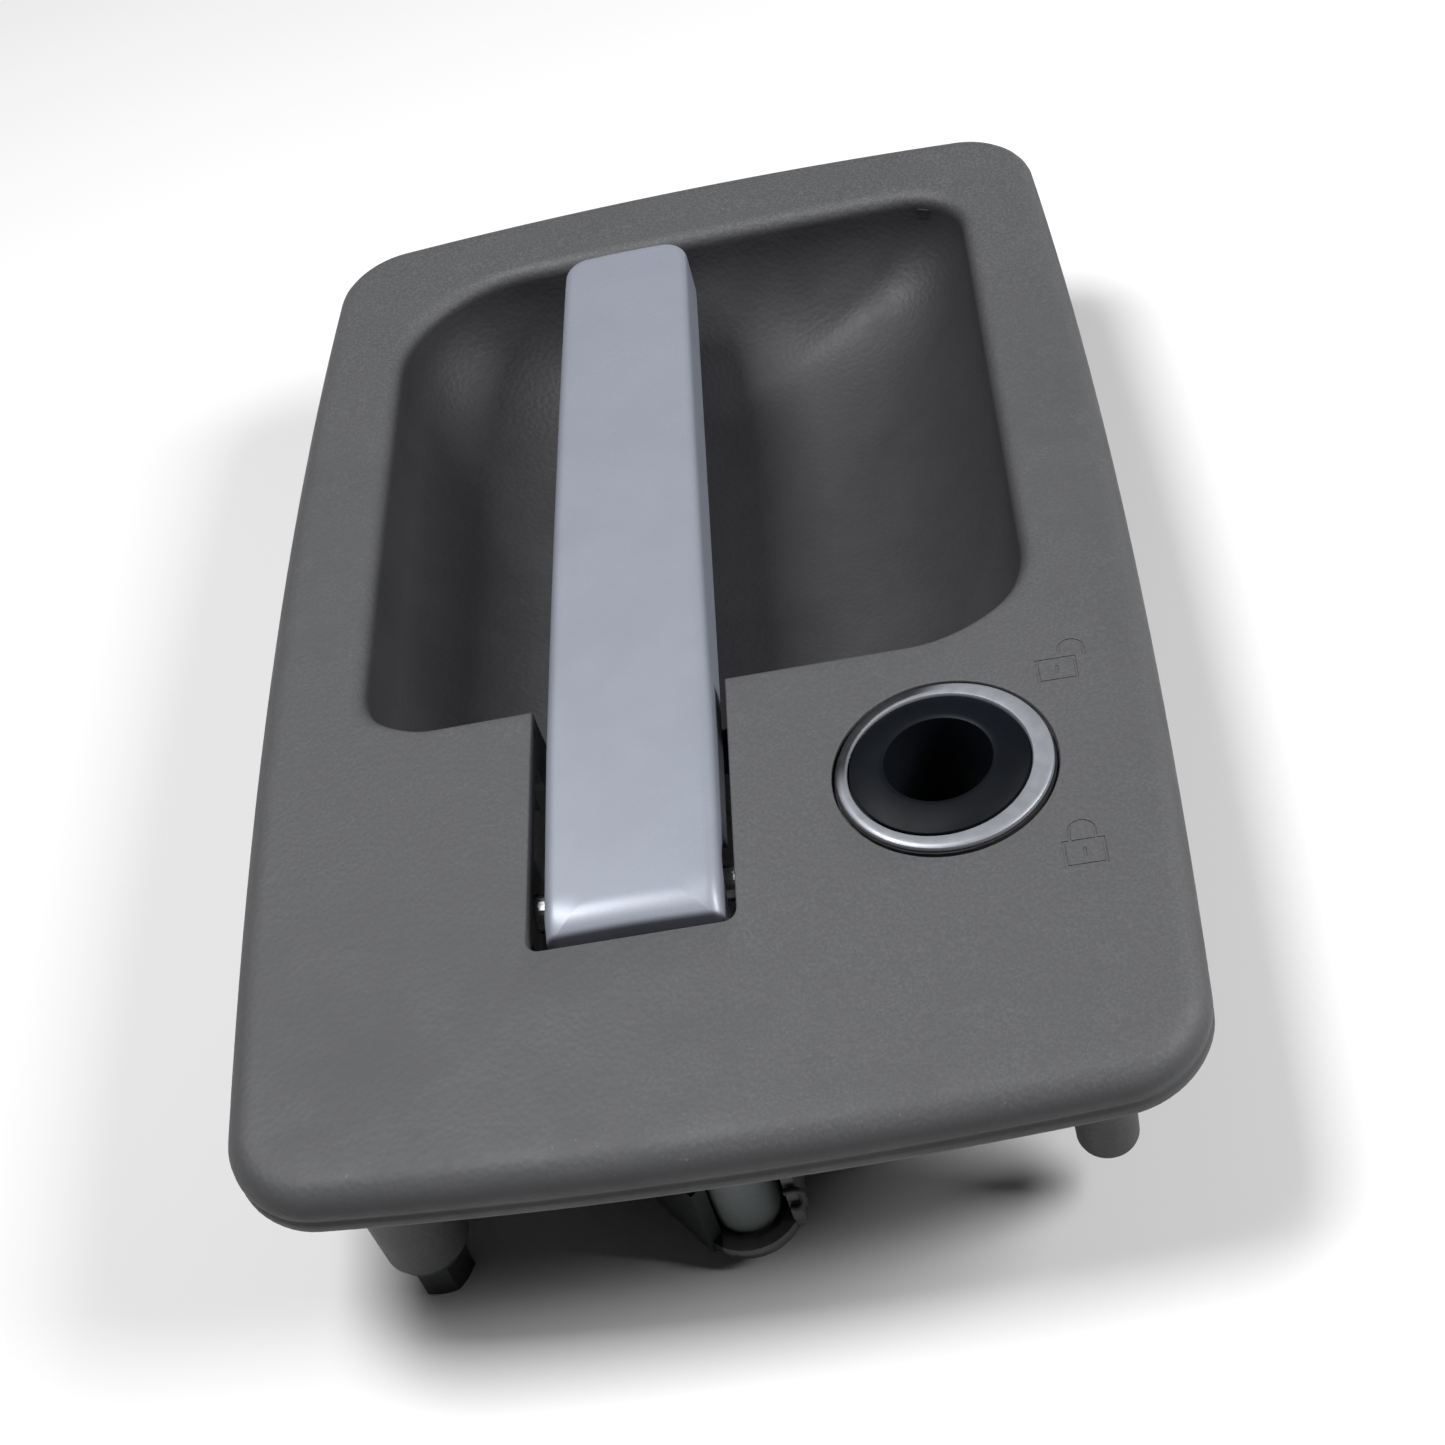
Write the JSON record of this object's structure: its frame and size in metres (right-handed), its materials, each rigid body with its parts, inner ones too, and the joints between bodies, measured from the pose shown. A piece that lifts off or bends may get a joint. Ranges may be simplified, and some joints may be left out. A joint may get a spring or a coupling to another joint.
{
  "type": "car door handle",
  "caption": "Flush exterior door handle: crowned dark plastic fascia with a finger well, a silver pull lever hinged at its lower end, a transfer lever behind, and an empty round lock sleeve.",
  "frame": {"origin": "under the middle of the fascia, on the plane that the rear fixings' heads stand on when the handle lies on its back", "axes": "+X across the fascia towards the lock, +Y along the fascia towards the lever's free end, +Z out of the fascia's visible face"},
  "size_m": [0.147, 0.2324, 0.05],
  "materials": {
    "fascia_plastic": "charcoal grey moulded plastic with a fine leather grain, lightly scuffed along its lower edge",
    "lever_paint": "satin silver-blue paint",
    "black_plastic": "black glass-filled moulding",
    "lock_black": "satin black moulding, slightly domed",
    "bezel_metal": "satin silver ring",
    "seal_rubber": "matt black rubber",
    "zinc_steel": "zinc-plated steel",
    "dark_steel": "black phosphated steel",
    "insert_brass": "turned brass",
    "acetal": "natural acetal"
  },
  "bodies": {
    "housing": {"fascia_housing": "fascia_plastic", "perimeter_seal": "seal_rubber", "hinge_pin": "zinc_steel", "hinge_pin_clip": "dark_steel", "return_spring": "zinc_steel", "bump_stop_left": "seal_rubber", "bump_stop_right": "seal_rubber", "mechanism_bracket": "black_plastic", "bracket_screw_1": "dark_steel", "bracket_screw_2": "dark_steel", "cup_screw": "dark_steel", "transfer_pin": "zinc_steel", "transfer_pin_clip": "dark_steel", "lock_sleeve": "lock_black", "lock_bezel_ring": "bezel_metal", "lock_seal": "seal_rubber", "sleeve_clip": "zinc_steel", "threaded_insert_lower_left": "insert_brass", "mounting_bolt_lower_left": "dark_steel", "threaded_insert_upper_left": "insert_brass", "mounting_bolt_upper_left": "dark_steel", "threaded_insert_upper_right": "insert_brass", "mounting_bolt_upper_right": "dark_steel"},
    "pull_lever": {"lever_cover": "lever_paint", "lever_carrier": "black_plastic", "cover_screw_1": "dark_steel", "cover_screw_2": "dark_steel", "hinge_bush_left": "acetal", "hinge_bush_right": "acetal"},
    "transfer": {"transfer_lever": "dark_steel"},
    "clip": {"rod_clip": "acetal"},
    "lock_rotor": {"lock_driver": "zinc_steel", "lock_tail": "dark_steel", "lock_tail_clip": "dark_steel"}
  },
  "joints": [
    {"name": "lever_pull", "type": "hinge", "parent": "housing", "child": "pull_lever", "pos_m": [-0.0092, -0.065, 0.038], "axis": [1, 0, 0], "range_deg": [0, 22], "stiffness_Nm_per_rad": 0.6, "springref_deg": -22.92, "deforming": ["return_spring"]},
    {"name": "transfer_swing", "type": "hinge", "parent": "housing", "child": "transfer", "pos_m": [0.014, -0.062, 0.0116], "axis": [0, 0, -1], "range_deg": [0, 23]},
    {"name": "rod_clip_swivel", "type": "hinge", "parent": "transfer", "child": "clip", "pos_m": [0.014, -0.0834, 0.0116], "axis": [0, 0, 1], "range_deg": [-30, 30]},
    {"name": "lock_turn", "type": "hinge", "parent": "housing", "child": "lock_rotor", "pos_m": [0.039, -0.055, 0.0252], "axis": [0, 0, 1], "range_deg": [-45, 45]}
  ],
  "couplings": [
    {"joint": "transfer_swing", "follows": "lever_pull", "ratio": 1.04}
  ]
}
